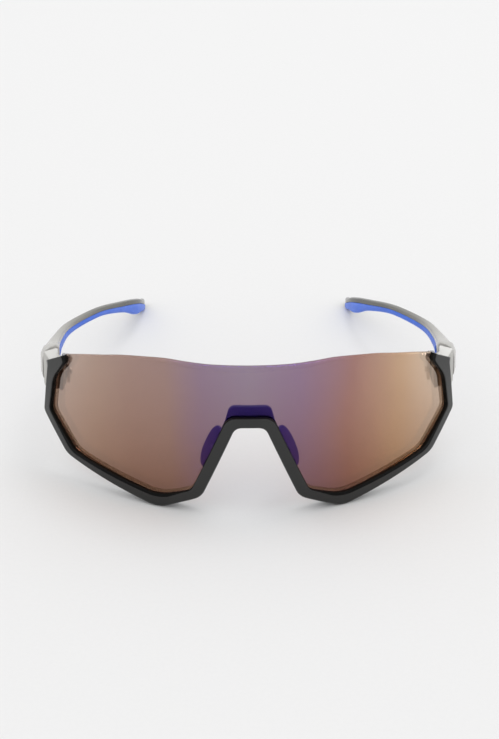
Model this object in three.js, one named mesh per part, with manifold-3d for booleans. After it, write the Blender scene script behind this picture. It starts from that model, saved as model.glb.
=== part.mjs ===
// Wraparound sport sunglasses: one shield lens in a half rim, a clip-on nose piece and two
// folding temples on three-barrel hinges. Millimetres, +Z up, -Y in front of the wearer's face,
// +X on the wearer's left. The glasses stand open on their rim and temple tips.
import * as THREE from 'three';
import { mergeVertices } from 'three/addons/utils/BufferGeometryUtils.js';
import Module from 'manifold-3d';

const wasm = await Module();
wasm.setup();

// ---------- driving dimensions ----------
const SHIELD_RADIUS_ACROSS = 86;
const SHIELD_RADIUS_UP = 160;
const SHIELD_CROWN_Z = 30;
const SHIELD_LEAN = THREE.MathUtils.degToRad(7);
const REST_X = 31; // where the rim's bottom edge stands
const CENTRE_Y = 69.03; // middle of the length, measured from the rim's standing line

const LENS_THICKNESS = 1.6;
const LENS_ROWS = 6;
const LENS_TUCK = 0.4; // share of the rim's width that the lens edge reaches into

// Rim stations from the outer top end to the middle of the nose arch: [x, z] up the shield.
const RIM_INNER = [
  [61.9, 47.7], [61.2, 45.6], [66.0, 38.2], [67.9, 25.0], [59.5, 13.0],
  [30.7, 4.3], [19.8, 7.8], [7.6, 35.9], [0, 35.9],
];
const RIM_OUTER = [
  [68.9, 42.6], [68.7, 41.2], [68.9, 37.0], [70.3, 23.5], [62.4, 10.6],
  [31, -1.0], [16.3, 5.4], [4.9, 32.4], [0, 32.4],
];
const INNER_BENDS = [0, 0.9, 3, 1.5, 2.2, 4, 1.8, 3, 0];
const OUTER_BENDS = [0, 0.5, 1.5, 1.2, 1.8, 3.2, 2.6, 2.4, 0];
const BEND_STEPS = 3;
const RUN_STEP = 5;

// Rim section: a front lip and the wall round the lens's edge, [share of the width from the inner
// edge, height off the lens's front face]. The wall's depth behind the lens's front varies.
const RIM_SECTION = [
  [0, 0.35], [0, 1.65], [0.1, 1.85], [0.88, 1.9], [1, 1.4],
  [1, -1], [0.92, -1], [0.55, -1], [0.55, 0.35],
];
const RIM_BACK = [[5, 0.6], [6, 0], [7, 0]]; // section corners at the back, and how far short of it
const RIM_DEPTHS = [1.9, 1.9, 1.8, 1.8, 2.4, 3.2, 3.2, 3.2, 3.2];

const LENS_TOP = [
  [0, 53.2], [13.9, 53.3], [22, 53.7], [30, 54.0], [42.2, 52.8], [50.6, 50.9], [57.1, 49.1], [63, 47.0],
];
const LENS_SIDE = [66.8, 38.4];
const LENS_SIDE_CUT = 0.35;

// Hinge: a steel three-barrel hinge on the inside of each temple.
const HINGE_AT = new THREE.Vector3(63.9, 38.5, 32.2);
const HINGE_LEAN = THREE.MathUtils.degToRad(9);
const BARREL_RADIUS = 1.7;
const BORE_RADIUS = 0.95;
const HINGE_SCREW_RADIUS = 0.75;
const OUTER_BARREL = [1.7, 3.4];
const MIDDLE_BARREL = [-1, 1];
const WASHER = [1.15, 1.55];
const LEAF_THICKNESS = 0.9;
const LEAF_SCREW_Q = 4.2;
const LEAF_SCREW_HOLE = 0.95;
const LEAF_SCREW_RADIUS = 0.65;
const LEAF_SCREW_LENGTH = 3.4;
const SEGMENTS = 20;
const CLEAR = 0.35;

// Endpiece outlines from bottom to top: z up the shield with r on the hinge's axis, the front
// corners as [x, n] on the shield at z 36 and the back corners as [p, q] from the hinge's axis.
const SIDE_SLOPE = 0.12; // how far the rim's side goes out for each millimetre down
const SEAT_FRONT = [[66, -2.6], [67.5, -2.6], [68.3, -1.3], [68.9, 0.9]];
const SEAT_BACK = [[7.4, -6.75], [1.85, -2.1], [-0.45, -2.15], [-0.45, -7.4]];
const ROOF_FRONT = [[66.9, -2.6], [67.9, -2.4], [68.5, -1.3], [69, 0.9]];
const ROOF_BACK = [[7.4, -6.8], [2.9, -3], [2.3, -4], [2.1, -7.4]];
const ENDPIECE_LEVELS = [
  { z: 31.2, r: -3.6, front: SEAT_FRONT, back: SEAT_BACK },
  { z: 33.6, r: -1.2, front: SEAT_FRONT, back: SEAT_BACK },
  { z: 36, r: 1.2, front: SEAT_FRONT, back: SEAT_BACK },
  { z: 38.4, r: 3.6, front: SEAT_FRONT, back: SEAT_BACK },
  { z: 40.4, r: 6, front: ROOF_FRONT, back: ROOF_BACK },
  { z: 42.4, r: 8.2, front: ROOF_FRONT, back: ROOF_BACK },
];

// Temple stations, front to tip: y, outer face x, top z, height, thickness, backward lean (deg).
const TEMPLE = [
  { y: 33.3, x: 71.6, z: 41.2, height: 12.7, thick: 5.6, lean: 7 },
  { y: 38.5, x: 72.7, z: 40.4, height: 11.6, thick: 6.5, lean: 8 },
  { y: 45, x: 72.6, z: 37.5, height: 9.0, thick: 5.9, lean: 9 },
  { y: 60, x: 70.4, z: 33.2, height: 5.8, thick: 3.4, lean: 9 },
  { y: 78, x: 67.1, z: 28.3, height: 4.0, thick: 2.7, lean: 12 },
  { y: 96, x: 57.6, z: 24.7, height: 3.4, thick: 2.5, lean: 16 },
  { y: 114, x: 49.4, z: 17.8, height: 4.1, thick: 2.5, lean: 22 },
  { y: 130, x: 44.5, z: 10.4, height: 4.4, thick: 2.6, lean: 24 },
  { y: 141, x: 43.0, z: 4.1, height: 4.4, thick: 2.5, lean: 20 },
  { y: 144.3, x: 42.8, z: 2.6, height: 2.9, thick: 2.1, lean: 14 },
];
const TEMPLE_STEPS = 44;
const FRONT_SHEAR = 0.8; // the front end is cut back parallel to the rim's side face
const GRIP_START_Y = 50;
const GRIP_END_Y = 142.6;
const GRIP_TOP_SHARE = 0.42; // the grip covers the inner face below this share of the height
const GRIP_DEPTH = 1.35;
const GRIP_BULGE_Y = 126;
const GRIP_BULGE = 1.7;

// Nose carrier: an arch clipped behind the rim's nose arch, [x, z] up the shield.
const CARRIER_UPPER = [[0, 38.0], [7.3, 38.0], [8.8, 32.6], [15.4, 17.2]];
const CARRIER_LOWER = [[0, 33.2], [5.5, 33.2], [6.7, 30.6], [13.8, 14.6]];
const CARRIER_BENDS = [0, 2.2, 1.5, 0];
const CARRIER_FRONT = -3.6;
const CARRIER_BACK = -5.3;
const PAD_SIZE = [2.2, 8.6, 17.5];
const PAD_AT = [14.4, 20.4, -9.9];
const PAD_STEM_FROM = [11.6, 21.6, -4.6];
const PAD_STEM_RADIUS = 1.2;
const PAD_STEM_SIDES = 12;
const PAD_TURN = THREE.MathUtils.degToRad(-33);
const PAD_ROLL = THREE.MathUtils.degToRad(-21);

// ---------- shared geometry ----------

// A point on the shield: x across, z up its slope, n out of its front face.
function shieldPoint(x, z, n) {
  const across = Math.sqrt(SHIELD_RADIUS_ACROSS ** 2 - x * x);
  const up = Math.sqrt(SHIELD_RADIUS_UP ** 2 - (z - SHIELD_CROWN_Z) ** 2);
  const depth = SHIELD_RADIUS_ACROSS - across + SHIELD_RADIUS_UP - up - REST_DEPTH;
  const y = depth - (n * across) / SHIELD_RADIUS_ACROSS;
  const point = new THREE.Vector3(x + (n * x) / SHIELD_RADIUS_ACROSS, y, z);
  return point.applyAxisAngle(new THREE.Vector3(-1, 0, 0), SHIELD_LEAN);
}

// How far the shield has curved back where the rim stands, so that y = 0 is its standing line.
const REST_DEPTH =
  SHIELD_RADIUS_ACROSS - Math.sqrt(SHIELD_RADIUS_ACROSS ** 2 - REST_X ** 2) +
  SHIELD_RADIUS_UP - Math.sqrt(SHIELD_RADIUS_UP ** 2 - SHIELD_CROWN_Z ** 2);

function grounded(point) {
  point.z = Math.max(point.z, 0);
  return point;
}

function mirrorPoint(point) {
  return new THREE.Vector3(-point.x, point.y, point.z);
}

// Cap of a ring whose second half runs back along its first.
function stripCap(count) {
  const faces = [];
  for (let i = 0; i < count / 2 - 1; i++) {
    const back = count - 1 - i;
    faces.push([i, i + 1, back - 1], [i, back - 1, back]);
  }
  return faces;
}

// Cap of a ring by the outline of its section, its faces in the ring's own order.
function outlineCap(outline) {
  const points = outline.map(([x, y]) => new THREE.Vector2(x, y));
  if (!THREE.ShapeUtils.isClockWise(points)) return THREE.ShapeUtils.triangulateShape(points, []);
  const last = points.length - 1;
  const faces = THREE.ShapeUtils.triangulateShape(points.reverse(), []);
  return faces.map(([a, b, c]) => [last - c, last - b, last - a]);
}

function signedVolume(positions, index) {
  const [a, b, c] = [new THREE.Vector3(), new THREE.Vector3(), new THREE.Vector3()];
  let sum = 0;
  for (let i = 0; i < index.length; i += 3) {
    a.fromArray(positions, index[i] * 3);
    b.fromArray(positions, index[i + 1] * 3);
    c.fromArray(positions, index[i + 2] * 3);
    sum += a.dot(b.cross(c)) / 6;
  }
  return sum;
}

// A closed body through rings of equal length, with its faces pointing out.
function loft(rings, cap) {
  const count = rings[0].length;
  const positions = rings.flat().flatMap((p) => [p.x, p.y, p.z]);
  const index = [];
  for (let r = 0; r < rings.length - 1; r++) {
    for (let i = 0; i < count; i++) {
      const a = r * count + i;
      const b = r * count + ((i + 1) % count);
      index.push(a, b, b + count, a, b + count, a + count);
    }
  }
  const end = (rings.length - 1) * count;
  for (const [a, b, c] of cap) {
    index.push(a, c, b, end + a, end + b, end + c);
  }
  if (signedVolume(positions, index) < 0) index.reverse();
  const geometry = new THREE.BufferGeometry();
  geometry.setAttribute('position', new THREE.Float32BufferAttribute(positions, 3));
  geometry.setIndex(index);
  return geometry;
}

function toSolid(geometry) {
  const bare = geometry.clone();
  bare.deleteAttribute('normal');
  bare.deleteAttribute('uv');
  const merged = mergeVertices(bare, 1e-4);
  return new wasm.Manifold(new wasm.Mesh({
    numProp: 3,
    vertProperties: new Float32Array(merged.attributes.position.array),
    triVerts: new Uint32Array(merged.index.array),
  }));
}

function fromSolid(solid) {
  const mesh = solid.getMesh();
  const geometry = new THREE.BufferGeometry();
  geometry.setAttribute('position', new THREE.Float32BufferAttribute(mesh.vertProperties, 3));
  geometry.setIndex(Array.from(mesh.triVerts));
  return geometry;
}

// The same part for the other side of the face.
function mirrored(geometry) {
  const copy = geometry.clone();
  copy.scale(-1, 1, 1);
  copy.setIndex(Array.from(copy.index.array).reverse());
  return copy;
}

// ---------- rim and lens ----------

function addRun(points, to, steps) {
  const from = points.at(-1);
  for (let i = 1; i <= steps; i++) points.push(from.clone().lerp(to, i / steps));
}

function runSteps(corners) {
  return corners.slice(1).map(([x, z], i) => {
    const length = Math.hypot(x - corners[i][0], z - corners[i][1]);
    return Math.max(1, Math.round(length / RUN_STEP));
  });
}

// Corners joined by straight runs and rounded bends, with as many points whatever the lengths.
function roundedPath(corners, bends, steps) {
  const at = corners.map(([x, z]) => new THREE.Vector2(x, z));
  const points = [at[0]];
  for (let i = 1; i < at.length - 1; i++) {
    const before = at[i - 1].clone().sub(at[i]).setLength(bends[i]).add(at[i]);
    const after = at[i + 1].clone().sub(at[i]).setLength(bends[i]).add(at[i]);
    addRun(points, before, steps[i - 1]);
    const bend = new THREE.QuadraticBezierCurve(before, at[i], after);
    points.push(...bend.getPoints(BEND_STEPS).slice(1));
  }
  addRun(points, at.at(-1), steps.at(-1));
  return points;
}

const rimSteps = runSteps(RIM_OUTER);
const rimInner = roundedPath(RIM_INNER, INNER_BENDS, rimSteps);
const rimOuter = roundedPath(RIM_OUTER, OUTER_BENDS, rimSteps);

// Rings on one half, from its outer end to the middle, completed by their mirror images.
function bothHalves(halfRings) {
  const others = halfRings.slice(0, -1).reverse().map((ring) => ring.map(mirrorPoint));
  return [...halfRings, ...others];
}

// A value given at each corner of a path, blended along its runs.
function alongPath(values, steps) {
  const out = [values[0]];
  for (let i = 1; i < values.length; i++) {
    for (let k = 1; k <= steps[i - 1]; k++) {
      out.push(THREE.MathUtils.lerp(values[i - 1], values[i], k / steps[i - 1]));
    }
    if (i < values.length - 1) out.push(...Array(BEND_STEPS).fill(values[i]));
  }
  return out;
}

function rimSection(depth) {
  const section = RIM_SECTION.map((corner) => [...corner]);
  for (const [corner, short] of RIM_BACK) section[corner][1] = short - depth;
  return section;
}

function rimGeometry() {
  const depths = alongPath(RIM_DEPTHS, rimSteps);
  const rings = rimInner.map((inner, i) =>
    rimSection(depths[i]).map(([share, n]) => {
      const at = inner.clone().lerp(rimOuter[i], share);
      return grounded(shieldPoint(at.x, at.y, n));
    }));
  return loft(bothHalves(rings), outlineCap(rimSection(RIM_DEPTHS[0])));
}

// Height of a path at x, where x runs one way along it.
function heightAt(path, x) {
  for (let i = 0; i < path.length - 1; i++) {
    const [a, b] = [path[i], path[i + 1]];
    if ((a.x - x) * (b.x - x) <= 0 && a.x !== b.x) {
      return THREE.MathUtils.lerp(a.y, b.y, (x - a.x) / (b.x - a.x));
    }
  }
  return path.at(-1).y;
}

function lensGeometry() {
  const edge = rimInner.map((inner, i) => inner.clone().lerp(rimOuter[i], LENS_TUCK));
  const widest = edge.reduce((best, p, i) => (p.x > edge[best].x ? i : best), 0);
  const lower = edge.slice(widest);
  const crest = new THREE.SplineCurve(LENS_TOP.map(([x, z]) => new THREE.Vector2(x, z)));
  const upper = [...crest.getPoints(36), new THREE.Vector2(...LENS_SIDE), lower[0]];
  const lastX = lower[0].x - LENS_SIDE_CUT;
  const corners = [lastX, LENS_SIDE[0], LENS_TOP.at(-1)[0]];
  const columns = [...corners, ...lower.map((p) => p.x).filter((x) => x < lastX - 0.2)];
  columns.sort((a, b) => b - a);
  const rings = columns.map((x) => {
    const [low, high] = [heightAt(lower, x), heightAt(upper, x)];
    const front = [];
    const back = [];
    for (let row = 0; row <= LENS_ROWS; row++) {
      const z = THREE.MathUtils.lerp(low, high, row / LENS_ROWS);
      front.push(shieldPoint(x, z, 0));
      back.unshift(shieldPoint(x, z, -LENS_THICKNESS));
    }
    return [...front, ...back];
  });
  return loft(bothHalves(rings), stripCap(rings[0].length));
}

// ---------- hinge, on the wearer's left ----------

// From hinge coordinates (p outward, q backward, r up the axis) to the glasses.
const hingeMatrix = new THREE.Matrix4()
  .makeRotationX(-HINGE_LEAN)
  .setPosition(HINGE_AT);

function hingePoint(p, q, r) {
  return new THREE.Vector3(p, q, r).applyMatrix4(hingeMatrix);
}

function roundBar(radius, low, high) {
  const bar = new THREE.CylinderGeometry(radius, radius, high - low, SEGMENTS);
  bar.rotateX(Math.PI / 2);
  bar.translate(0, 0, (low + high) / 2);
  return bar;
}

// A bar that runs outward along p at the given q.
function crossBar(radius, low, high, q) {
  const bar = new THREE.CylinderGeometry(radius, radius, high - low, SEGMENTS);
  bar.rotateZ(Math.PI / 2);
  bar.translate((low + high) / 2, q, 0);
  return bar;
}

function block(p, q, r) {
  const box = new THREE.BoxGeometry(p[1] - p[0], q[1] - q[0], r[1] - r[0]);
  box.translate((p[0] + p[1]) / 2, (q[0] + q[1]) / 2, (r[0] + r[1]) / 2);
  return box;
}

const hingeBore = toSolid(roundBar(BORE_RADIUS, -5, 5));

function frontLeafGeometry() {
  const plateP = [-BARREL_RADIUS, LEAF_THICKNESS - BARREL_RADIUS];
  const [low, high] = OUTER_BARREL;
  const plate = toSolid(block(plateP, [-7, -BARREL_RADIUS - 0.2], [-high, high]));
  const relief = toSolid(roundBar(BARREL_RADIUS + CLEAR, -low, low));
  let leaf = plate;
  for (const side of [[low, high], [-high, -low]]) {
    const arm = toSolid(block(plateP, [-BARREL_RADIUS - 0.3, 0], side));
    leaf = leaf.add(toSolid(roundBar(BARREL_RADIUS, ...side))).add(arm);
  }
  const hole = toSolid(crossBar(LEAF_SCREW_HOLE, -4, 4, -LEAF_SCREW_Q));
  return fromSolid(leaf.subtract(relief).subtract(hingeBore).subtract(hole));
}

function templeLeafGeometry() {
  const plateP = [BARREL_RADIUS - LEAF_THICKNESS, BARREL_RADIUS];
  const [low, high] = MIDDLE_BARREL;
  const arm = toSolid(block(plateP, [0, 2.4], [low, high]));
  const plate = toSolid(block(plateP, [2.2, 6.2], [-2.6, 2.6]));
  const hole = toSolid(crossBar(LEAF_SCREW_HOLE, -4, 4, LEAF_SCREW_Q));
  const leaf = toSolid(roundBar(BARREL_RADIUS, low, high)).add(arm).add(plate);
  return fromSolid(leaf.subtract(hingeBore).subtract(hole));
}

function slotted(head, slot) {
  return fromSolid(toSolid(head).subtract(toSolid(slot)));
}

// Turned profile about the axis: shank, then the head, with a driver slot across its top.
function hingeScrewGeometry() {
  const [, top] = OUTER_BARREL;
  const profile = [
    [0, -top - 0.4], [HINGE_SCREW_RADIUS, -top - 0.2], [HINGE_SCREW_RADIUS, top + CLEAR],
    [1.45, top + CLEAR], [1.45, top + 0.8], [1.2, top + 1.05], [0, top + 1.05],
  ];
  const turned = new THREE.LatheGeometry(profile.map(([x, y]) => new THREE.Vector2(x, y)), SEGMENTS);
  turned.rotateX(Math.PI / 2);
  return slotted(turned, block([-2, 2], [-0.2, 0.2], [top + 0.7, top + 2]));
}

function washerGeometry(side) {
  const [low, high] = side > 0 ? WASHER : [-WASHER[1], -WASHER[0]];
  const ring = toSolid(roundBar(BARREL_RADIUS - 0.1, low, high));
  return fromSolid(ring.subtract(hingeBore));
}

// A leaf screw: its head lies on the leaf's inner face and its shank runs outward.
function leafScrewGeometry(faceP, q) {
  const profile = [
    [0, -0.75], [0.9, -0.75], [1.3, -0.5], [1.3, -0.1], [LEAF_SCREW_RADIUS, -0.1],
    [LEAF_SCREW_RADIUS, LEAF_SCREW_LENGTH - 0.6], [0, LEAF_SCREW_LENGTH],
  ];
  const turned = new THREE.LatheGeometry(profile.map(([x, y]) => new THREE.Vector2(x, y)), SEGMENTS);
  turned.rotateZ(-Math.PI / 2);
  const screw = slotted(turned, block([-1, -0.4], [-2, 2], [-0.18, 0.18]));
  screw.translate(faceP, q, 0);
  return screw;
}

// ---------- front frame ----------

// The endpiece behind each top corner of the rim: it carries the hinge's front leaf on its inner
// side and rises beside it to the temple's top.
function endpieceGeometry() {
  const rings = ENDPIECE_LEVELS.map(({ z, r, front, back }) => [
    ...front.map(([x, n]) => shieldPoint(x + (36 - z) * SIDE_SLOPE, z, n)),
    ...back.map(([p, q]) => hingePoint(p, q, r)),
  ]);
  return loft(rings, stripCap(rings[0].length));
}

function frontFrameGeometry() {
  const hole = crossBar(LEAF_SCREW_HOLE, -4, 2.9, -LEAF_SCREW_Q).applyMatrix4(hingeMatrix);
  let frame = toSolid(rimGeometry());
  for (const side of [(g) => g, mirrored]) {
    frame = frame.add(toSolid(side(endpieceGeometry()))).subtract(toSolid(side(hole)));
  }
  return fromSolid(frame);
}

// ---------- temples, on the wearer's left ----------

const templeLine = new THREE.CatmullRomCurve3(TEMPLE.map((s) => new THREE.Vector3(s.x, s.y, s.z)));
const templeSize = new THREE.CatmullRomCurve3(
  TEMPLE.map((s) => new THREE.Vector3(s.height, s.thick, s.lean)));

// The temple's place, section axes and section size at a share of its stations.
function templeStation(share) {
  const at = templeLine.getPoint(share);
  const along = templeLine.getTangent(share).setZ(0).normalize();
  const size = templeSize.getPoint(share);
  const lean = THREE.MathUtils.degToRad(size.z);
  return {
    at,
    height: size.x,
    thick: size.y,
    inward: new THREE.Vector3(-along.y, along.x, 0),
    down: new THREE.Vector3(0, -Math.sin(lean), -Math.cos(lean)),
    shear: FRONT_SHEAR * Math.max(0, 1 - (at.y - TEMPLE[0].y) / 12),
  };
}

// A point of the section: a in from the outer face, b down from the top.
function sectionPoint(station, a, b) {
  const { at, inward, down, shear } = station;
  const point = at.clone().addScaledVector(inward, a).addScaledVector(down, b);
  point.y += shear * a;
  return grounded(point);
}

// Depth of the pocket that takes the grip: full between the grip's ends.
function pocketDepth(y) {
  const inFront = THREE.MathUtils.smoothstep(y, GRIP_START_Y - 2, GRIP_START_Y + 3);
  const behind = 1 - THREE.MathUtils.smoothstep(y, GRIP_END_Y - 0.4, GRIP_END_Y + 0.6);
  return 0.04 + GRIP_DEPTH * inFront * behind;
}

function bulge(y) {
  return GRIP_BULGE * Math.exp(-(((y - GRIP_BULGE_Y) / 8) ** 2));
}

function shellSection({ at, height, thick }) {
  const floor = thick - pocketDepth(at.y);
  const shelf = GRIP_TOP_SHARE * height;
  return [
    [0.02 * thick, 0.25 * height], [0.2 * thick, 0.03 * height], [0.5 * thick, 0],
    [0.85 * thick, 0.03 * height], [thick, 0.12 * height], [thick, shelf],
    [floor, shelf + 0.05], [floor, 0.96 * height], [0.55 * floor, height],
    [0.2 * floor, 0.95 * height], [0, 0.75 * height],
  ];
}

function gripSection({ at, height, thick }) {
  const depth = pocketDepth(at.y);
  const floor = thick - depth + CLEAR;
  const shelf = GRIP_TOP_SHARE * height + CLEAR;
  const low = height + bulge(at.y);
  const proud = 0.2 + 0.25 * bulge(at.y);
  return [
    [floor, shelf], [thick - 0.1, shelf], [thick + proud, shelf + 0.5],
    [thick + proud, low - 0.7], [thick - 0.2, low - 0.1], [floor, low],
  ];
}

function templeStations(from, to, steps) {
  const stations = [];
  for (let i = 0; i <= steps; i++) {
    stations.push(templeStation(THREE.MathUtils.lerp(from, to, i / steps)));
  }
  return stations;
}

// The share of the stations at which the temple line passes y.
function shareAt(y) {
  let [low, high] = [0, 1];
  for (let i = 0; i < 40; i++) {
    const middle = (low + high) / 2;
    if (templeLine.getPoint(middle).y < y) low = middle;
    else high = middle;
  }
  return low;
}

// Where the pocket ends the shell has two stations close together, so that its end wall is steep.
function shellStations() {
  const stops = [0, shareAt(GRIP_START_Y - 2), shareAt(GRIP_START_Y + 3),
    shareAt(GRIP_END_Y - 0.4), shareAt(GRIP_END_Y + 0.6), 1];
  const stations = [templeStation(0)];
  for (let i = 1; i < stops.length; i++) {
    const steps = Math.max(1, Math.round((stops[i] - stops[i - 1]) * TEMPLE_STEPS));
    stations.push(...templeStations(stops[i - 1], stops[i], steps).slice(1));
  }
  return stations;
}

function templeShellGeometry() {
  const stations = shellStations();
  const rings = stations.map((s) => shellSection(s).map(([a, b]) => sectionPoint(s, a, b)));
  const end = stations.at(-1);
  const closing = shellSection(end).map(([a, b]) => {
    const [middleA, middleB] = [end.thick / 2, end.height / 2];
    const point = sectionPoint(end, THREE.MathUtils.lerp(a, middleA, 0.45),
      THREE.MathUtils.lerp(b, middleB, 0.45));
    point.y += 1;
    return point;
  });
  const shell = toSolid(loft([...rings, closing], outlineCap(shellSection(stations[0]))));
  const hole = crossBar(LEAF_SCREW_HOLE, 0, 5.2, LEAF_SCREW_Q).applyMatrix4(hingeMatrix);
  return fromSolid(shell.subtract(toSolid(hole)));
}

function templeGripGeometry() {
  const stations = templeStations(shareAt(GRIP_START_Y + 3.4), shareAt(GRIP_END_Y - 0.8), 32);
  const rings = stations.map((s) => gripSection(s).map(([a, b]) => sectionPoint(s, a, b)));
  return loft(rings, outlineCap(gripSection(stations[0])));
}

// ---------- nose piece ----------

function carrierGeometry() {
  const steps = runSteps(CARRIER_LOWER);
  const upper = roundedPath(CARRIER_UPPER, CARRIER_BENDS, steps).reverse();
  const lower = roundedPath(CARRIER_LOWER, CARRIER_BENDS, steps).reverse();
  const middle = (CARRIER_FRONT + CARRIER_BACK) / 2;
  const rings = upper.map((top, i) => {
    const bottom = lower[i];
    return [
      shieldPoint(bottom.x, bottom.y, CARRIER_BACK), shieldPoint(bottom.x, bottom.y, CARRIER_FRONT),
      shieldPoint(top.x, top.y, CARRIER_FRONT), shieldPoint(top.x, top.y + 0.3, middle),
      shieldPoint(top.x, top.y, CARRIER_BACK), shieldPoint((top.x + bottom.x) / 2,
        (top.y + bottom.y) / 2, CARRIER_BACK - 0.3),
    ];
  });
  const cap = outlineCap([[0, 0], [0, 1], [1, 1], [1.1, 0.5], [1, 0], [0.5, -0.1]]);
  let carrier = toSolid(loft(bothHalves(rings), cap));
  for (const side of [(g) => g, mirrored]) {
    const socket = toSolid(side(padShape(PAD_SIZE.map((size) => size + 2 * CLEAR))));
    carrier = carrier.add(toSolid(side(stemGeometry())).subtract(socket));
  }
  return fromSolid(carrier);
}

// The stub on the carrier's leg that holds a nose pad, run on to the pad's middle.
function stemGeometry() {
  const from = shieldPoint(...PAD_STEM_FROM);
  const line = new THREE.LineCurve3(from, shieldPoint(...PAD_AT));
  const stem = new THREE.CylinderGeometry(PAD_STEM_RADIUS, PAD_STEM_RADIUS, line.getLength(), PAD_STEM_SIDES);
  stem.rotateX(Math.PI / 2);
  stem.lookAt(line.getTangent(0));
  const middle = line.getPoint(0.5);
  stem.translate(middle.x, middle.y, middle.z);
  return stem;
}

// A soft rounded wing that bears on one side of the nose.
function padShape(size) {
  const pad = new THREE.SphereGeometry(0.5, 16, 10);
  pad.scale(...size);
  pad.rotateZ(PAD_TURN);
  pad.rotateY(PAD_ROLL);
  pad.rotateX(-SHIELD_LEAN);
  const at = shieldPoint(...PAD_AT);
  pad.translate(at.x, at.y, at.z);
  return mergeVertices(withoutShading(pad), 1e-4);
}

function withoutShading(geometry) {
  geometry.deleteAttribute('normal');
  geometry.deleteAttribute('uv');
  return geometry;
}

// ---------- materials ----------

const glossBlack = new THREE.MeshStandardMaterial({ color: 0x0b0c0c, roughness: 0.16 });
const mirrorLens = new THREE.MeshStandardMaterial({ color: 0x7a6470, roughness: 0.05, metalness: 0.7 });
const blueRubber = new THREE.MeshStandardMaterial({ color: 0x2448d8, roughness: 0.55 });
const deepBlue = new THREE.MeshStandardMaterial({ color: 0x1420a8, roughness: 0.45 });
const steel = new THREE.MeshStandardMaterial({ color: 0xb9bcc0, roughness: 0.3, metalness: 1 });
const nylon = new THREE.MeshStandardMaterial({ color: 0xe6e4dc, roughness: 0.6 });

// ---------- assembly ----------

const glasses = new THREE.Group();
glasses.position.y = -CENTRE_Y;

function add(name, geometry, material) {
  const mesh = new THREE.Mesh(geometry, material);
  mesh.name = name;
  glasses.add(mesh);
}

// Adds a part and its mirror image; the wearer's left is +X.
function addPair(name, geometry, material) {
  add(`left_${name}`, geometry, material);
  add(`right_${name}`, mirrored(geometry), material);
}

function inHinge(geometry) {
  return withoutShading(geometry).applyMatrix4(hingeMatrix);
}

add('front_frame', frontFrameGeometry(), glossBlack);
add('shield_lens', lensGeometry(), mirrorLens);
add('nose_carrier', carrierGeometry(), deepBlue);
addPair('nose_pad', padShape(PAD_SIZE), deepBlue);
addPair('temple', templeShellGeometry(), glossBlack);
addPair('temple_grip', templeGripGeometry(), blueRubber);
addPair('hinge_front_leaf', inHinge(frontLeafGeometry()), steel);
addPair('hinge_temple_leaf', inHinge(templeLeafGeometry()), steel);
addPair('hinge_screw', inHinge(hingeScrewGeometry()), steel);
addPair('upper_washer', inHinge(washerGeometry(1)), nylon);
addPair('lower_washer', inHinge(washerGeometry(-1)), nylon);
addPair('front_leaf_screw', inHinge(leafScrewGeometry(-BARREL_RADIUS, -LEAF_SCREW_Q)), steel);
addPair('temple_leaf_screw', inHinge(leafScrewGeometry(BARREL_RADIUS - LEAF_THICKNESS, LEAF_SCREW_Q)), steel);

export default glasses;
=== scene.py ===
"""Wraparound sport sunglasses: fine visual meshes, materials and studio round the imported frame."""
import math

import bmesh
import bpy
from mathutils import Matrix, Vector


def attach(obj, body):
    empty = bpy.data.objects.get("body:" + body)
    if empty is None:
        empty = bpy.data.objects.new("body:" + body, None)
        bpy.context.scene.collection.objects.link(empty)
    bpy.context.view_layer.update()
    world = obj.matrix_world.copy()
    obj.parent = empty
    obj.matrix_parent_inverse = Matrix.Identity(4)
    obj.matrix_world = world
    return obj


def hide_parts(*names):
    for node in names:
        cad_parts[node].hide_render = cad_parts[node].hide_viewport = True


MM = 0.001


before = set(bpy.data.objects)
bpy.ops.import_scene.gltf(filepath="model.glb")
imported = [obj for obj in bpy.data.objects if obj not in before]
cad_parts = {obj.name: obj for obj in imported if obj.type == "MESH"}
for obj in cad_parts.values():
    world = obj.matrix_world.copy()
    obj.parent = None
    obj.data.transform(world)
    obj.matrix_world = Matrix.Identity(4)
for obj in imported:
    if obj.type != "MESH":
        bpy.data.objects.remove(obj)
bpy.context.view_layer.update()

# ---------- camera ----------

CAMERA_ELEVATION = math.radians(30)
CAMERA_AZIMUTH = math.radians(-0.8)
CAMERA_DISTANCE = 0.700
CAMERA_TARGET = Vector((0.00038, -0.02903, 0.0294))
CAMERA_LENS = 96.8


def add_camera():
    camera = bpy.data.objects.new("camera", bpy.data.cameras.new("camera"))
    bpy.context.scene.collection.objects.link(camera)
    back = Vector((0, -math.cos(CAMERA_ELEVATION), math.sin(CAMERA_ELEVATION)))
    back.rotate(Matrix.Rotation(CAMERA_AZIMUTH, 3, "Z"))
    camera.location = CAMERA_TARGET + back * CAMERA_DISTANCE
    camera.rotation_mode = "QUATERNION"
    camera.rotation_quaternion = (-back).to_track_quat("-Z", "Y")
    camera.data.lens = CAMERA_LENS
    camera.data.sensor_width = 36
    camera.data.clip_start = 0.01
    camera.data.clip_end = 50
    bpy.context.scene.camera = camera


add_camera()

# ---------- materials ----------


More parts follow.
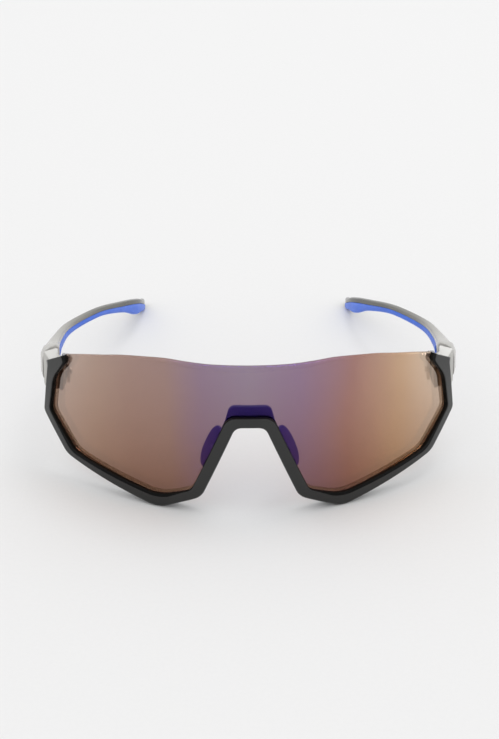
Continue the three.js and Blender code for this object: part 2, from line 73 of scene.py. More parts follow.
class Nodes:
    """A material's node tree with short calls for the nodes used here."""

    def __init__(self, name):
        self.material = bpy.data.materials.new(name)
        self.material.use_nodes = True
        self.tree = self.material.node_tree
        self.tree.nodes.clear()
        self.output = self.tree.nodes.new("ShaderNodeOutputMaterial")
        self.place = self.tree.nodes.new("ShaderNodeTexCoord").outputs["Object"]

    def link(self, source, target):
        self.tree.links.new(source, target)

    def put(self, socket, value):
        if isinstance(value, bpy.types.NodeSocket):
            self.link(value, socket)
        else:
            socket.default_value = value

    def math(self, kind, *values):
        node = self.tree.nodes.new("ShaderNodeMath")
        node.operation = kind
        for socket, value in zip(node.inputs, values):
            self.put(socket, value)
        return node.outputs[0]

    def axis(self, name):
        node = self.tree.nodes.new("ShaderNodeSeparateXYZ")
        self.link(self.place, node.inputs[0])
        return node.outputs[name]

    def noise(self, scale, detail=3.0, roughness=0.5, stretch=(1, 1, 1)):
        mapping = self.tree.nodes.new("ShaderNodeMapping")
        mapping.inputs["Scale"].default_value = stretch
        self.link(self.place, mapping.inputs["Vector"])
        node = self.tree.nodes.new("ShaderNodeTexNoise")
        node.inputs["Scale"].default_value = scale
        node.inputs["Detail"].default_value = detail
        node.inputs["Roughness"].default_value = roughness
        self.link(mapping.outputs[0], node.inputs["Vector"])
        return node.outputs["Fac"]

    def grain(self, scale):
        node = self.tree.nodes.new("ShaderNodeTexVoronoi")
        node.inputs["Scale"].default_value = scale
        self.link(self.place, node.inputs["Vector"])
        return node.outputs["Distance"]

    def between(self, value, low, high, out_low=0.0, out_high=1.0):
        node = self.tree.nodes.new("ShaderNodeMapRange")
        self.link(value, node.inputs["Value"])
        for socket, number in zip(list(node.inputs)[1:5], (low, high, out_low, out_high)):
            socket.default_value = number
        return node.outputs["Result"]

    def ramp(self, value, stops):
        node = self.tree.nodes.new("ShaderNodeValToRGB")
        ramp = node.color_ramp
        while len(ramp.elements) < len(stops):
            ramp.elements.new(0.5)
        for element, (position, colour) in zip(ramp.elements, stops):
            element.position = position
            element.color = (*colour, 1)
        self.link(value, node.inputs["Fac"])
        return node.outputs["Color"]

    def blend(self, share, a, b, kind="MIX"):
        node = self.tree.nodes.new("ShaderNodeMix")
        node.data_type = "RGBA"
        node.blend_type = kind
        for socket, value in zip((node.inputs["Factor"], node.inputs[6], node.inputs[7]), (share, a, b)):
            self.put(socket, (*value, 1) if isinstance(value, tuple) else value)
        return node.outputs[2]

    def mottled(self, noise, dark, light):
        """Two close colours, mixed by the middle of a noise's range."""
        return self.blend(self.between(noise, 0.3, 0.7), dark, light)

    def bump(self, height, distance, strength=1.0):
        node = self.tree.nodes.new("ShaderNodeBump")
        node.inputs["Distance"].default_value = distance
        node.inputs["Strength"].default_value = strength
        self.link(height, node.inputs["Height"])
        return node.outputs["Normal"]

    def principled(self, **values):
        node = self.tree.nodes.new("ShaderNodeBsdfPrincipled")
        for name, value in values.items():
            socket = node.inputs[name.replace("_", " ")]
            self.put(socket, (*value, 1) if isinstance(value, tuple) else value)
        return node

    def finish(self, shader):
        self.link(shader.outputs[0], self.output.inputs["Surface"])
        return self.material


def gloss_black():
    """Polished injection-moulded nylon: near black, a faint flow mottle and finger haze in the gloss."""
    n = Nodes("gloss_black")
    mottle = n.noise(90, 4)
    haze = n.noise(260, 6, 0.65)
    colour = n.mottled(mottle, (0.0030, 0.0033, 0.0030), (0.0062, 0.0066, 0.0058))
    rough = n.between(haze, 0.35, 0.75, 0.07, 0.16)
    ripple = n.bump(n.noise(420, 2), 0.00002, 0.35)
    return n.finish(n.principled(Base_Color=colour, Roughness=rough, Normal=ripple, IOR=1.52,
                                 Coat_Weight=0.06, Coat_Roughness=0.05))


def painted_reflection_fade():
    """Gloss black temple plastic with a painted reflection: warm light grey at the hinge end that fades to
    the frame's black at the tips.
    """
    n = Nodes("painted_reflection_fade")
    cloud = n.between(n.noise(60, 4), 0.3, 0.7, -0.03, 0.03)
    back = n.math("ADD", n.between(n.axis("Y"), *REFLECTION_FADE_SPAN), cloud)
    colour = n.ramp(back, REFLECTION_FADE_STOPS)
    rough = n.between(n.noise(260, 6, 0.65), 0.35, 0.75, 0.12, 0.22)
    ripple = n.bump(n.noise(420, 2), 0.00002, 0.35)
    return n.finish(n.principled(Base_Color=colour, Roughness=rough, Normal=ripple, IOR=1.5))


# Painted reflection: the light greys stand in for overhead light mirrored in the gloss, fading to the
# plastic's own black at the tip.
REFLECTION_FADE_SPAN = (-0.045, 0.075)  # metres along Y, hinge end to tip
REFLECTION_FADE_STOPS = [
    (0.00, (0.49, 0.485, 0.46)), (0.20, (0.50, 0.49, 0.47)), (0.34, (0.36, 0.35, 0.325)),
    (0.58, (0.17, 0.17, 0.155)), (0.80, (0.040, 0.040, 0.036)), (1.00, (0.008, 0.008, 0.007)),
]


def lip_black():
    """The recessed inner lip of the rim: the same nylon left with a fine matt texture."""
    n = Nodes("lip_black")
    mottle = n.noise(300, 4)
    colour = n.mottled(mottle, (0.0016, 0.0016, 0.0014), (0.0034, 0.0034, 0.0030))
    rough = n.between(n.noise(900, 3), 0.3, 0.7, 0.45, 0.62)
    return n.finish(n.principled(Base_Color=colour, Roughness=rough, IOR=1.2,
                                 Normal=n.bump(n.grain(5200), 0.00002, 0.3)))


def mirror_lens():
    """Tinted polycarbonate under a violet mirror coating, with painted reflection: by position the mirror
    turns gold and near white and grows stronger towards the ends; its bottom carries painted shade.
    """
    n = Nodes("mirror_lens")
    across = n.between(n.axis("X"), -LENS_REACH, LENS_REACH)
    warm = n.noise(28, 2)
    across = n.math("ADD", across, n.between(warm, 0.3, 0.7, -0.012, 0.012))
    # Painted reflection: the mirror's colour runs by position from violet in the middle to gold and near
    # white at the ends, unevenly left and right.
    mirror_with_painted_reflection = n.ramp(across, MIRROR_REFLECTION_STOPS)
    # Painted shade: towards the bottom the mirror turns red-brown and the see-through tint goes darker and
    # warmer.
    low = n.between(n.axis("Z"), *LENS_SHADE_SPAN)
    mirror_with_painted_reflection = n.blend(low, n.blend(0.45, mirror_with_painted_reflection, (0.42, 0.16, 0.10), "MIX"), mirror_with_painted_reflection)
    tint = n.ramp(across, TINT_STOPS)
    tint = n.blend(low, n.blend(1.0, tint, (0.87, 0.80, 0.70), "MULTIPLY"), tint)
    clear = n.tree.nodes.new("ShaderNodeBsdfTransparent")
    n.link(tint, clear.inputs["Color"])
    haze = n.between(n.noise(180, 5, 0.6), 0.35, 0.8, 0.03, 0.06)
    gloss = n.principled(Base_Color=mirror_with_painted_reflection, Metallic=1.0, Roughness=haze)
    # Painted reflection: the mirror's share grows with distance from the middle.
    share = n.between(n.math("ABSOLUTE", n.axis("X")), *MIRROR_REFLECTION_SHARE)
    mix = n.tree.nodes.new("ShaderNodeMixShader")
    n.link(share, mix.inputs["Fac"])
    n.link(clear.outputs[0], mix.inputs[1])
    n.link(gloss.outputs[0], mix.inputs[2])
    return n.finish(mix)


LENS_REACH = 0.07
LENS_SHADE_SPAN = (0.006, 0.050)  # metres up, where the painted shade at the lens's bottom fades out
MIRROR_REFLECTION_SHARE = (0.0, 0.068, 0.105, 0.34)  # metres out from the middle, then the shares there
MIRROR_REFLECTION_STOPS = [
    (0.00, (0.75, 0.70, 0.66)), (0.14, (0.62, 0.50, 0.42)), (0.30, (0.46, 0.30, 0.30)),
    (0.38, (0.14, 0.08, 0.54)), (0.50, (0.10, 0.07, 0.66)), (0.62, (0.16, 0.09, 0.60)),
    (0.74, (0.56, 0.28, 0.22)), (0.86, (0.84, 0.62, 0.38)), (1.00, (0.92, 0.86, 0.78)),
]
TINT_STOPS = [
    (0.00, (0.76, 0.65, 0.59)), (0.22, (0.635, 0.52, 0.475)), (0.50, (0.625, 0.55, 0.54)),
    (0.74, (0.635, 0.50, 0.485)), (0.88, (0.76, 0.63, 0.54)), (1.00, (0.88, 0.79, 0.72)),
]


def blue_rubber():
    """Soft-touch overmould: saturated blue with a fine spark-eroded grain."""
    n = Nodes("blue_rubber")
    shade = n.noise(140, 4)
    colour = n.mottled(shade, (0.048, 0.150, 0.70), (0.066, 0.185, 0.80))
    grain = n.bump(n.grain(5200), 0.00004, 0.5)
    rough = n.between(n.noise(900, 3), 0.3, 0.7, 0.42, 0.58)
    return n.finish(n.principled(Base_Color=colour, Roughness=rough, Normal=grain, IOR=1.45,
                                 Sheen_Weight=0.08, Sheen_Roughness=0.5))


NOSE_TOP_LIGHT_BAND = (0.0342, 0.0348)


def nose_blue():
    """Satin silicone in deep blue, with painted light: the top of its bar is a lighter blue than the rest.
    """
    n = Nodes("nose_blue")
    shade = n.noise(160, 3)
    colour = n.mottled(shade, (0.004, 0.012, 0.26), (0.010, 0.022, 0.36))
    # Painted light: above this band the bar turns a lighter blue.
    lit_top = n.between(n.axis("Z"), *NOSE_TOP_LIGHT_BAND)
    colour = n.blend(lit_top, colour, (0.060, 0.066, 0.300))
    grain = n.bump(n.grain(4300), 0.00003, 0.4)
    rough = n.between(n.noise(700, 3), 0.3, 0.7, 0.36, 0.50)
    return n.finish(n.principled(Base_Color=colour, Roughness=rough, Normal=grain, IOR=1.43,
                                 Subsurface_Weight=0.05, Subsurface_Scale=0.001))


def steel():
    """Turned and tumbled stainless steel."""
    n = Nodes("hinge_steel")
    stain = n.noise(600, 4)
    colour = n.mottled(stain, (0.46, 0.47, 0.49), (0.60, 0.60, 0.61))
    brushed = n.noise(2600, 3, 0.6, (1, 1, 9))
    return n.finish(n.principled(Base_Color=colour, Metallic=1.0,
                                 Roughness=n.between(stain, 0.3, 0.7, 0.22, 0.36),
                                 Normal=n.bump(brushed, 0.00002, 0.3)))


def nylon():
    """Natural nylon washers."""
    n = Nodes("washer_nylon")
    shade = n.noise(900, 3)
    colour = n.mottled(shade, (0.70, 0.68, 0.62), (0.78, 0.76, 0.71))
    return n.finish(n.principled(Base_Color=colour, Roughness=0.5, Subsurface_Weight=0.1,
                                 Subsurface_Scale=0.0005, Normal=n.bump(shade, 0.00002, 0.4)))


def floor_paper():
    n = Nodes("floor_paper")
    fibre = n.noise(700, 4)
    colour = n.mottled(fibre, (0.795, 0.795, 0.795), (0.805, 0.805, 0.805))
    return n.finish(n.principled(Base_Color=colour, Roughness=0.9, Specular_IOR_Level=0.0))


BLACK = gloss_black()
REFLECTION_FADE = painted_reflection_fade()
LIP = lip_black()
LENS = mirror_lens()
BLUE = blue_rubber()
NOSE = nose_blue()
STEEL = steel()
NYLON = nylon()

# ---------- shared geometry, in millimetres ----------

SHIELD_RADIUS_ACROSS = 86
SHIELD_RADIUS_UP = 160
SHIELD_CROWN_Z = 30
SHIELD_LEAN = math.radians(7)
REST_X = 31
CENTRE_Y = 69.03
LEAN = Matrix.Rotation(-SHIELD_LEAN, 3, "X")
REST_DEPTH = (SHIELD_RADIUS_ACROSS - math.sqrt(SHIELD_RADIUS_ACROSS**2 - REST_X**2)
              + SHIELD_RADIUS_UP - math.sqrt(SHIELD_RADIUS_UP**2 - SHIELD_CROWN_Z**2))
BEND_STEPS = 10


def shield_point(x, z, n):
    """A point on the shield: x across, z up its slope, n out of its front face."""
    across = math.sqrt(SHIELD_RADIUS_ACROSS**2 - x * x)
    up = math.sqrt(SHIELD_RADIUS_UP**2 - (z - SHIELD_CROWN_Z) ** 2)
    depth = SHIELD_RADIUS_ACROSS - across + SHIELD_RADIUS_UP - up - REST_DEPTH
    y = depth - n * across / SHIELD_RADIUS_ACROSS
    point = LEAN @ Vector((x + n * x / SHIELD_RADIUS_ACROSS, y, z))
    return point - Vector((0, CENTRE_Y, 0))


def grounded(point):
    point.z = max(point.z, 0)
    return point


def flipped(ring):
    return [Vector((-p.x, p.y, p.z)) for p in ring]


def rounded(points, reaches, steps=3):
    """A closed outline with its corners rounded; a corner with no reach stays sharp."""
    out = []
    for i, (corner, reach) in enumerate(zip(points, reaches)):
        if reach == 0:
            out.append(corner.copy())
            continue
        before = points[i - 1] - corner
        after = points[(i + 1) % len(points)] - corner
        reach = min(reach, 0.45 * before.length, 0.45 * after.length)
        start = corner + before.normalized() * reach
        end = corner + after.normalized() * reach
        for k in range(steps + 1):
            t = k / steps
            out.append(start.lerp(corner, t).lerp(corner.lerp(end, t), t))
    return out


def path(corners, bends, steps, values):
    """Straight runs and rounded bends through corners; each point comes with its blended value."""
    corners = [Vector(c) for c in corners]
    points = [(corners[0], values[0])]

    def run(to, value, count):
        start, first = points[-1]
        for k in range(1, count + 1):
            t = k / count
            points.append((start.lerp(to, t), first + (value - first) * t))

    for i in range(1, len(corners) - 1):
        corner = corners[i]
        before = corner + (corners[i - 1] - corner).normalized() * bends[i]
        after = corner + (corners[i + 1] - corner).normalized() * bends[i]
        run(before, values[i], steps[i - 1])
        for k in range(1, BEND_STEPS + 1):
            t = k / BEND_STEPS
            points.append((before.lerp(corner, t).lerp(corner.lerp(after, t), t), values[i]))
    run(corners[-1], values[-1], steps[-1])
    return points


def loft(rings):
    """Points and faces of a closed body through rings of equal length."""
    count = len(rings[0])
    points = [p for ring in rings for p in ring]
    faces = []
    for r in range(len(rings) - 1):
        for i in range(count):
            a, b = r * count + i, r * count + (i + 1) % count
            faces.append((a, b, b + count, a + count))
    faces.append(tuple(range(count)))
    faces.append(tuple(range(len(points) - count, len(points))))
    return points, faces


def both_halves(rings):
    """Rings of one half from its outer end to the middle, and their mirror images after them."""
    return rings + [flipped(ring) for ring in reversed(rings[:-1])]


def rounded_end(ring, out, radius, steps=3):
    """Rings that close a ring with a rounded edge, in order from the ring to its end."""
    middle = sum(ring, Vector()) / len(ring)
    rings = []
    for k in range(steps + 1):
        angle = math.pi / 2 * k / steps
        inset, advance = radius * (1 - math.cos(angle)), radius * (math.sin(angle) - 1)
        rings.append([p + (middle - p).normalized() * inset + out * advance for p in ring])
    return rings


def add_piece(name, body, slot, material, points, faces, replaces=()):
    """A smooth-shaded mesh in metres that rides on a CAD body."""
    mesh = bpy.data.meshes.new(name)
    mesh.from_pydata([p * MM for p in points], [], faces)
    shape = bmesh.new()
    shape.from_mesh(mesh)
    bmesh.ops.remove_doubles(shape, verts=shape.verts, dist=1e-7)
    bmesh.ops.recalc_face_normals(shape, faces=shape.faces)
    shape.to_mesh(mesh)
    shape.free()
    for face in mesh.polygons:
        face.use_smooth = True
    mesh.materials.append(material)
    piece = bpy.data.objects.new(name, mesh)
    bpy.context.scene.collection.objects.link(piece)
    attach(piece, body)
    if replaces:
        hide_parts(*replaces)
    weighted = piece.modifiers.new("flat_faces", "WEIGHTED_NORMAL")
    weighted.weight = 60
    return piece


def add_pair(name, bodies, slot, material, points, faces, replaces=""):
    """The wearer's left piece and its mirror image."""
    for side, body, made in (("left", bodies[0], points), ("right", bodies[1], flipped(points))):
        stands_for = [f"{side}_{replaces}"] if replaces else ()
        add_piece(f"{side}_{name}", body, slot, material, made, faces, stands_for)


ARMS = ("left_temple_arm", "right_temple_arm")
FRONT = ("front", "front")

# ---------- rim ----------

RIM_INNER = [
    (61.9, 47.7), (61.2, 45.6), (66.0, 38.2), (67.9, 25.0), (59.5, 13.0),
    (30.7, 4.3), (19.8, 7.8), (7.6, 35.9), (0, 35.9),
]
RIM_OUTER = [
    (68.9, 42.6), (68.7, 41.2), (68.9, 37.0), (70.3, 23.5), (62.4, 10.6),
    (31, -1.0), (16.3, 5.4), (4.9, 32.4), (0, 32.4),
]
INNER_BENDS = [0, 0.9, 3, 1.5, 2.2, 4, 1.8, 3, 0]
OUTER_BENDS = [0, 0.5, 1.5, 1.2, 1.8, 3.2, 2.6, 2.4, 0]
RIM_BEVELS = [0.16, 0.16, 0.12, 0.16, 0.36, 0.26, 0.08, 0.06, 0.06]
RIM_DEPTHS = [1.9, 1.9, 1.8, 1.8, 2.4, 3.2, 3.2, 3.2, 3.2]
RIM_STEP = 1.5
RIM_REACHES = [0, 0.15, 0.2, 0.3, 0.35, 0.3, 0.2, 0.15, 0]
LIP_FACES = range(5)  # faces of the section from the lens up the inner wall and over its bevel
LENS_TUCK = 0.4


def run_steps(corners, step):
    return [max(1, round(math.dist(a, b) / step)) for a, b in zip(corners, corners[1:])]


RIM_STEPS = run_steps(RIM_OUTER, RIM_STEP)
INNER_PATH = path(RIM_INNER, INNER_BENDS, RIM_STEPS, RIM_BEVELS)
OUTER_PATH = path(RIM_OUTER, OUTER_BENDS, RIM_STEPS, RIM_DEPTHS)


def rim_ring(inner, outer, bevel, depth):
    """The rim's section: a front lip and the wall round the lens's edge."""
    width = (outer - inner).length
    corners = [
        (0, 0.35), (0, 1.65), (bevel, 1.85), (0.88, 1.9), (1, 1.4),
        (1, 0.6 - depth), (0.92, -depth), (0.55, -depth), (0.55, 0.35),
    ]
    outline = rounded([Vector((share * width, n)) for share, n in corners], RIM_REACHES)
    ring = []
    for across, n in outline:
        at = inner.lerp(outer, across / width)
        ring.append(grounded(shield_point(at.x, at.y, n)))
    return ring


def add_rim():
    rings = [rim_ring(inner, outer, bevel, depth)
             for (inner, bevel), (outer, depth) in zip(INNER_PATH, OUTER_PATH)]
    out = (rings[0][0] - rings[2][0]).normalized()
    rings[:1] = reversed(rounded_end(rings[0], out, 0.3))
    rim = add_piece("rim", "front", "gloss_black", BLACK, *loft(both_halves(rings)), ["front_frame"])
    rim.data.materials.append(LIP)
    corners = len(rings[0])
    for face in rim.data.polygons[:(2 * len(rings) - 2) * corners]:
        if face.index % corners in (*LIP_FACES, corners - 1):
            face.material_index = 1


add_rim()

# ---------- endpieces, on the wearer's left ----------

HINGE_AT = Vector((63.9, 38.5, 32.2))
HINGE_LEAN = Matrix.Rotation(math.radians(-9), 3, "X")
SIDE_SLOPE = 0.12
SEAT_Z = 36
# Corners from the rim round to the hinge: on the shield at z 36, then [p, q] from the hinge's axis.
SEAT_FRONT = [(66, -2.6), (67.5, -2.6), (68.3, -1.3), (68.9, 0.9)]
SEAT_BACK = [(7.4, -6.75), (1.85, -2.1), (-0.45, -2.15), (-0.45, -7.4)]
ROOF_FRONT = [(66.9, -2.6), (67.9, -2.4), (68.5, -1.3), (69, 0.9)]
ROOF_BACK = [(7.4, -6.8), (2.9, -3), (2.3, -4), (2.1, -7.4)]
ENDPIECE_LEVELS = [
    (31.2, -3.6, SEAT_FRONT, SEAT_BACK), (33.6, -1.2, SEAT_FRONT, SEAT_BACK),
    (36, 1.2, SEAT_FRONT, SEAT_BACK), (38.4, 3.6, SEAT_FRONT, SEAT_BACK),
    (40.4, 6, ROOF_FRONT, ROOF_BACK), (42.4, 8.2, ROOF_FRONT, ROOF_BACK),
]
ENDPIECE_REACHES = (0.4, 0.2, 0.2, 0.3, 0.7, 0.4, 0.3, 0.4)


def hinge_point(p, q, r):
    return HINGE_LEAN @ Vector((p, q, r)) + HINGE_AT - Vector((0, CENTRE_Y, 0))


def add_endpieces():
    rings = []
    for z, r, front, back in ENDPIECE_LEVELS:
        ring = [shield_point(x + (SEAT_Z - z) * SIDE_SLOPE, z, n) for x, n in front]
        ring += [hinge_point(p, q, r) for p, q in back]
        rings.append(rounded(ring, ENDPIECE_REACHES))
    up = Vector((0, 0, 1))
    rings = [*reversed(rounded_end(rings[0], -up, 0.4)), *rings[1:-1], *rounded_end(rings[-1], up, 0.6, 5)]
    # The endpieces carry the temples' painted reflection fade.
    add_pair("endpiece", FRONT, "gloss_black", REFLECTION_FADE, *loft(rings))


add_endpieces()

# ---------- lens ----------

LENS_THICKNESS = 1.6
LENS_TOP = [
    (0, 53.2), (13.9, 53.3), (22, 53.7), (30, 54.0), (42.2, 52.8), (50.6, 50.9), (57.1, 49.1), (63, 47.0),
]
LENS_SIDE = (66.8, 38.4)
LENS_SIDE_CUT = 0.35
LENS_COLUMN = 1.0
LENS_ROWS = 28
EDGE_ROUND = [(0.25, 0), (0.07, 0.07), (0, 0.25), (0, 1.35), (0.07, 1.53), (0.25, 1.6)]


def spline(points, count):
    """A uniform Catmull-Rom curve through points."""
    points = [Vector(p) for p in points]
    out = []
    for k in range(count + 1):
        place = (len(points) - 1) * k / count
        i = min(int(place), len(points) - 2)
        t = place - i
        p1, p2 = points[i], points[i + 1]
        v1 = (p2 - points[max(i - 1, 0)]) / 2
        v2 = (points[min(i + 2, len(points) - 1)] - p1) / 2
        out.append((2 * p1 - 2 * p2 + v1 + v2) * t**3 + (3 * p2 - 3 * p1 - 2 * v1 - v2) * t * t
                   + v1 * t + p1)
    return out


def height_at(points, x):
    for a, b in zip(points, points[1:]):
        if (a.x - x) * (b.x - x) <= 0 and a.x != b.x:
            return a.y + (b.y - a.y) * (x - a.x) / (b.x - a.x)
    return points[-1].y


def add_lens():
    edge = [inner.lerp(outer, LENS_TUCK) for (inner, _), (outer, _) in zip(INNER_PATH, OUTER_PATH)]
    widest = max(range(len(edge)), key=lambda i: edge[i].x)
    lower = edge[widest:]
    upper = [*spline(LENS_TOP, 120), Vector(LENS_SIDE), lower[0]]
    last_x = lower[0].x - LENS_SIDE_CUT
    columns = {last_x, LENS_SIDE[0], LENS_TOP[-1][0], *(p.x for p in lower if p.x < last_x - 0.2)}
    columns |= {LENS_COLUMN * k for k in range(int(last_x / LENS_COLUMN))}
    rings = []
    for x in sorted(columns, reverse=True):
        low, high = height_at(lower, x), height_at(upper, x)
        span = high - low - EDGE_ROUND[0][0]
        rows = [low + span * k / LENS_ROWS for k in range(LENS_ROWS)]
        front = [shield_point(x, z, 0) for z in rows]
        top = [shield_point(x, high - down, -n) for down, n in EDGE_ROUND]
        back = [shield_point(x, z, -LENS_THICKNESS) for z in reversed(rows)]
        rings.append([*front, *top, *back])
    add_piece("lens", "front", "mirror_lens", LENS, *loft(both_halves(rings)), ["shield_lens"])


add_lens()

# ---------- temples, on the wearer's left ----------

# Stations, front to tip: y, outer face x, top z; then height, thickness, backward lean (deg).
TEMPLE_LINE = [
    (71.6, 33.3, 41.2), (72.7, 38.5, 40.4), (72.6, 45, 37.5), (70.4, 60, 33.2), (67.1, 78, 28.3),
    (57.6, 96, 24.7), (49.4, 114, 17.8), (44.5, 130, 10.4), (43.0, 141, 4.1), (42.8, 144.3, 2.6),
]
TEMPLE_SIZE = [
    (12.7, 5.6, 7), (11.6, 6.5, 8), (9.0, 5.9, 9), (5.8, 3.4, 9), (4.0, 2.7, 12),
    (3.4, 2.5, 16), (4.1, 2.5, 22), (4.4, 2.6, 24), (4.4, 2.5, 20), (2.9, 2.1, 14),
]
TEMPLE_RINGS = 170
FRONT_SHEAR = 0.8
GRIP_START_Y = 50
GRIP_END_Y = 142.6
POCKET_START = (GRIP_START_Y - 2, GRIP_START_Y + 3)
POCKET_END = (GRIP_END_Y - 0.4, GRIP_END_Y + 0.6)
TIP_PUSH = Vector((0, 0.8, 0))
GRIP_TOP_SHARE = 0.42
GRIP_DEPTH = 1.35
GRIP_BULGE_Y = 126
GRIP_BULGE = 1.7
GRIP_GAP = 0.06
SHELL_REACHES = (0.5, 0.6, 0.6, 0.5, 0.5, 0.2, 0.15, 0.2, 0.4, 0.5, 0.6)
GRIP_REACHES = (0.1, 0.15, 0.4, 0.6, 0.3, 0.1)


def centripetal(points, share):
    """A point of the centripetal Catmull-Rom curve through points."""
    last = len(points) - 1
    place = min(max(share, 0), 1) * last
    i = min(int(place), last - 1)
    t = place - i
    p1, p2 = points[i], points[i + 1]
    p0 = points[i - 1] if i > 0 else 2 * points[0] - points[1]
    p3 = points[i + 2] if i + 2 <= last else 2 * points[last] - points[last - 1]
    d0, d1, d2 = ((b - a).length ** 0.5 for a, b in ((p0, p1), (p1, p2), (p2, p3)))
    v1 = ((p1 - p0) / d0 - (p2 - p0) / (d0 + d1) + (p2 - p1) / d1) * d1
    v2 = ((p2 - p1) / d1 - (p3 - p1) / (d1 + d2) + (p3 - p2) / d2) * d1
    return p1 + v1 * t + (3 * p2 - 3 * p1 - 2 * v1 - v2) * t * t + (2 * p1 - 2 * p2 + v1 + v2) * t**3


LINE = [Vector(p) for p in TEMPLE_LINE]
SIZES = [Vector(s) for s in TEMPLE_SIZE]


class Station:
    """The temple's place, section axes and section size at a share of its stations."""

    def __init__(self, share):
        self.at = centripetal(LINE, share)
        along = centripetal(LINE, share + 1e-4) - centripetal(LINE, share - 1e-4)
        along.z = 0
        along.normalize()
        self.height, self.thick, lean = centripetal(SIZES, share)
        self.inward = Vector((-along.y, along.x, 0))
        lean = math.radians(lean)
        self.down = Vector((0, -math.sin(lean), -math.cos(lean)))
        self.shear = FRONT_SHEAR * max(0, 1 - (self.at.y - LINE[0].y) / 12)

    def point(self, a, b):
        """A point of the section: a in from the outer face, b down from the top."""
        p = self.at + self.inward * a + self.down * b
        p.y += self.shear * a - CENTRE_Y
        return grounded(p)


def smoothstep(x, low, high):
    t = min(max((x - low) / (high - low), 0), 1)
    return t * t * (3 - 2 * t)


def pocket_depth(y):
    in_front = smoothstep(y, *POCKET_START)
    behind = 1 - smoothstep(y, *POCKET_END)
    return 0.04 + GRIP_DEPTH * in_front * behind


def bulge(y):
    return GRIP_BULGE * math.exp(-(((y - GRIP_BULGE_Y) / 8) ** 2))


def shell_ring(s):
    thick, height = s.thick, s.height
    floor = thick - pocket_depth(s.at.y)
    shelf = GRIP_TOP_SHARE * height
    outline = [
        (0.02 * thick, 0.25 * height), (0.2 * thick, 0.03 * height), (0.5 * thick, 0),
        (0.85 * thick, 0.03 * height), (thick, 0.12 * height), (thick, shelf),
        (floor, shelf + 0.05), (floor, 0.96 * height), (0.55 * floor, height),
        (0.2 * floor, 0.95 * height), (0, 0.75 * height),
    ]
    return [s.point(*p) for p in rounded([Vector(p) for p in outline], SHELL_REACHES)]


def grip_ring(s):
    depth = pocket_depth(s.at.y)
    floor = s.thick - depth + GRIP_GAP
    shelf = GRIP_TOP_SHARE * s.height + GRIP_GAP
    low = s.height + bulge(s.at.y)
    proud = 0.2 + 0.25 * bulge(s.at.y)
    outline = [
        (floor, shelf), (s.thick - 0.1, shelf), (s.thick + proud, shelf + 0.5),
        (s.thick + proud, low - 0.7), (s.thick - 0.2, low - 0.1), (floor, low),
    ]
    return [s.point(*p) for p in rounded([Vector(p) for p in outline], GRIP_REACHES)]


def share_at(y):
    low, high = 0.0, 1.0
    for _ in range(40):
        middle = (low + high) / 2
        if centripetal(LINE, middle).y < y:
            low = middle
        else:
            high = middle
    return low


def shares(*stops):
    """Evenly spaced shares that also pass through every stop."""
    out = [stops[0]]
    for a, b in zip(stops, stops[1:]):
        count = max(4, round((b - a) * TEMPLE_RINGS))
        out += [a + (b - a) * k / count for k in range(1, count + 1)]
    return out


def add_temples():
    stops = (0, *(share_at(y) for y in (*POCKET_START, *POCKET_END)), 1)
    rings = [shell_ring(Station(share)) for share in shares(*stops)]
    out = Vector((0, -1, 0))
    front = rounded_end(rings[0], out, 0.4)
    tip = rounded_end(rings[-1], Vector((0, 1, 0)), 0.9, 6)
    tip = [[p + TIP_PUSH for p in ring] for ring in tip]
    rings = [*reversed(front), *rings[1:-1], *tip]
    # The temple shells carry the painted reflection fade.
    add_pair("temple_shell", ARMS, "gloss_black", REFLECTION_FADE, *loft(rings), replaces="temple")
    start, end = share_at(GRIP_START_Y + 3.1), share_at(GRIP_END_Y - 0.5)
    rings = [grip_ring(Station(share)) for share in shares(start, end)]
    rings = [*reversed(rounded_end(rings[0], Vector((0, -1, 0)), 0.25)), *rings[1:-1],
             *rounded_end(rings[-1], Vector((0, 1, 0)), 0.25)]
    add_pair("rubber_grip", ARMS, "blue_rubber", BLUE, *loft(rings), replaces="temple_grip")


add_temples()

# ---------- nose piece ----------

CARRIER_UPPER = [(0, 38.0), (7.3, 38.0), (8.8, 32.6), (15.4, 17.2)]
CARRIER_LOWER = [(0, 33.2), (5.5, 33.2), (6.7, 30.6), (13.8, 14.6)]
CARRIER_BENDS = [0, 2.2, 1.5, 0]
CARRIER_FRONT = -3.6
CARRIER_BACK = -5.3


def add_carrier():
    steps = run_steps(CARRIER_LOWER, 1.2)
    zeros = [0] * 4
    upper = path(CARRIER_UPPER, CARRIER_BENDS, steps, zeros)
    lower = path(CARRIER_LOWER, CARRIER_BENDS, steps, zeros)
    rings = []
    for (top, _), (bottom, _) in zip(reversed(upper), reversed(lower)):
        height = (top - bottom).length
        outline = rounded([
            Vector((0, CARRIER_FRONT)), Vector((height, CARRIER_FRONT)),
            Vector((height, CARRIER_BACK)), Vector((0, CARRIER_BACK)),
        ], (0.4, 0.5, 0.5, 0.4), 4)
        rings.append([
            shield_point(*bottom.lerp(top, up / height), n) for up, n in outline])
    rings[:1] = reversed(rounded_end(rings[0], (rings[0][0] - rings[1][0]).normalized(), 0.5))
    add_piece("nose_carrier_arch", "front", "nose_blue", NOSE, *loft(both_halves(rings)),
              ["nose_carrier"])


add_carrier()

PAD_SIZE = (2.2, 8.6, 17.5)
PAD_AT = (14.4, 20.4, -9.9)
PAD_STEM_FROM = (11.6, 21.6, -4.6)
PAD_TURN = Matrix.Rotation(math.radians(-33), 3, "Z")
PAD_ROLL = Matrix.Rotation(math.radians(-21), 3, "Y")
PAD_RINGS = 40
PAD_SIDES = 32
STEM_RINGS = 15
STEM_SIDES = 24


def super_arch(t, power):
    return max(1 - abs(t) ** power, 0) ** (1 / power)


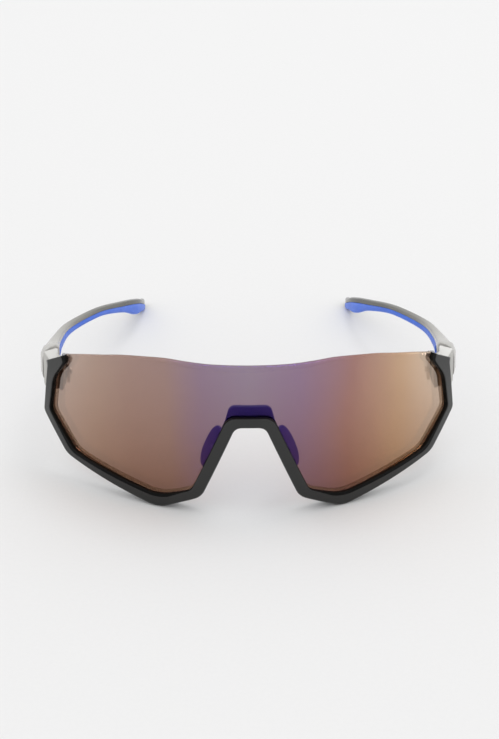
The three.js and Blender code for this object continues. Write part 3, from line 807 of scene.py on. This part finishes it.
def pad_ring(t):
    """The pad's outline at t from its lower (-1) to its upper (1) end: a flat, slightly dished wing."""
    thick, wide, tall = (size / 2 for size in PAD_SIZE)
    depth = thick * super_arch(t, 3.2)
    reach = wide * super_arch(t, 2.3) * (0.93 - 0.07 * t)
    ring = []
    for k in range(PAD_SIDES):
        angle = 2 * math.pi * k / PAD_SIDES
        across, along = math.cos(angle), math.sin(angle)
        x = depth * math.copysign(abs(across) ** 0.8, across)
        y = reach * math.copysign(abs(along) ** 0.9, along)
        dish = 0.25 * (1 - t * t) * (1 - (y / wide) ** 2) * max(across, 0)
        turned = LEAN @ (PAD_ROLL @ (PAD_TURN @ Vector((x - dish, y, tall * (0.92 * t - 0.06)))))
        ring.append(turned + shield_point(*PAD_AT))
    return ring


def add_pads():
    ends = 0.9985
    turns = [math.sin(math.pi / 2 * (2 * k / PAD_RINGS - 1)) * ends for k in range(PAD_RINGS + 1)]
    rings = [pad_ring(t) for t in turns]
    add_pair("silicone_pad", FRONT, "nose_blue", NOSE, *loft(rings), replaces="nose_pad")


def add_stems():
    """The stubs from the carrier's legs to the pads, flared where they leave the carrier."""
    start, end = shield_point(*PAD_STEM_FROM), shield_point(*PAD_AT)
    along = (end - start).normalized()
    side = along.orthogonal().normalized()
    other = along.cross(side)
    rings = []
    for k in range(STEM_RINGS):
        t = k / (STEM_RINGS - 1)
        radius = 0.95 + 0.55 * (1 - t) ** 3
        centre = start.lerp(end, t * 0.86)
        rings.append([centre + (side * math.cos(a) + other * math.sin(a)) * radius
                      for a in (2 * math.pi * i / STEM_SIDES for i in range(STEM_SIDES))])
    add_pair("pad_stem", FRONT, "nose_blue", NOSE, *loft(rings))


add_pads()
add_stems()

# ---------- carried-over nodes ----------

for node_name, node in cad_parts.items():
    finish = None
    if "washer" in node_name:
        finish = NYLON
    elif "hinge" in node_name or "screw" in node_name:
        finish = STEEL
    if finish:
        for material_slot in node.material_slots:
            material_slot.material = finish

# ---------- studio ----------


SKY_RISE = (0.45, 0.75)
FLOOR_REACH = 4.0
FLOOR_DROP = 0.0002


def add_floor():
    mesh = bpy.data.meshes.new("floor")
    reach = FLOOR_REACH
    mesh.from_pydata([(-reach, -reach, 0), (reach, -reach, 0), (reach, reach, 0), (-reach, reach, 0)],
                     [], [(0, 1, 2, 3)])
    mesh.materials.append(floor_paper())
    floor = bpy.data.objects.new("floor", mesh)
    floor.location.z = -FLOOR_DROP
    bpy.context.scene.collection.objects.link(floor)


def add_softbox(name, place, size, power, aim=(0, 0, 0.02), card=False):
    """An area light; a card shows only in glossy reflections and leaves the floor as it is."""
    light = bpy.data.objects.new(name, bpy.data.lights.new(name, "AREA"))
    light.visible_diffuse = not card
    light.visible_camera = False
    light.data.shape = "RECTANGLE"
    light.data.size, light.data.size_y = size
    light.data.energy = power
    light.location = place
    light.rotation_mode = "QUATERNION"
    light.rotation_quaternion = (Vector(aim) - Vector(place)).to_track_quat("-Z", "Y")
    bpy.context.scene.collection.objects.link(light)


def add_sky(low, high):
    """A dome of soft white light overhead above a darker surround."""
    world = bpy.data.worlds.new("studio")
    world.use_nodes = True
    tree = world.node_tree
    place = tree.nodes.new("ShaderNodeTexCoord")
    axes = tree.nodes.new("ShaderNodeSeparateXYZ")
    rise = tree.nodes.new("ShaderNodeMapRange")
    for socket, number in zip(list(rise.inputs)[1:5], (*SKY_RISE, low, high)):
        socket.default_value = number
    tree.links.new(place.outputs["Generated"], axes.inputs[0])
    tree.links.new(axes.outputs["Z"], rise.inputs["Value"])
    background = tree.nodes["Background"]
    background.inputs["Color"].default_value = (1, 1, 1, 1)
    tree.links.new(rise.outputs["Result"], background.inputs["Strength"])
    bpy.context.scene.world = world


add_floor()
add_sky(0.88, 1.13)
add_softbox("key", (0.30, 0.45, 1.35), (0.7, 0.5), 2.2)
add_softbox("top_card", (0.0, 0.25, 1.2), (0.9, 0.7), 8, card=True)
add_softbox("right_card", (0.32, 0.05, 0.03), (0.3, 0.12), 0.25, card=True)
bpy.context.scene.view_settings.view_transform = "Standard"
